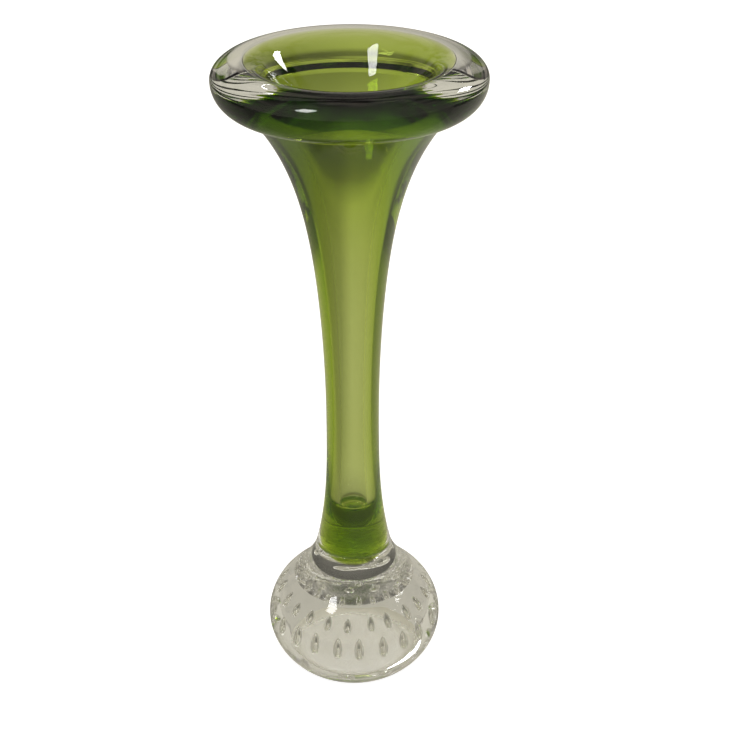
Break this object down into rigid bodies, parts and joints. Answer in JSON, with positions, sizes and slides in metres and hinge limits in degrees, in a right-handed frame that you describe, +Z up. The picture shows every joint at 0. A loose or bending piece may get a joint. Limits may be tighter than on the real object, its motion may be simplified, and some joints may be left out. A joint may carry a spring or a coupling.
{
  "type": "controlled-bubble bud vase",
  "caption": "Tall hand blown bud vase: green cored trumpet stem with a thick clear rolled lip, welded to a clear ball foot with rings of trapped air bubbles.",
  "frame": {"origin": "centre of the ground flat under the foot", "axes": "+Z up the axis of the stem, towards the mouth; the vase is turned about it, so +X and +Y are any two level directions"},
  "size_m": [0.0766, 0.0766, 0.2],
  "materials": {
    "green_glass": "fire polished, transparent green",
    "clear_glass": "fire polished, clear, ground flat under the foot"
  },
  "bodies": {
    "root": {"green_core": "green_glass", "stem_casing": "clear_glass", "rim_roll": "clear_glass", "pricked_gather": "clear_glass", "foot_casing": "clear_glass"}
  },
  "joints": []
}
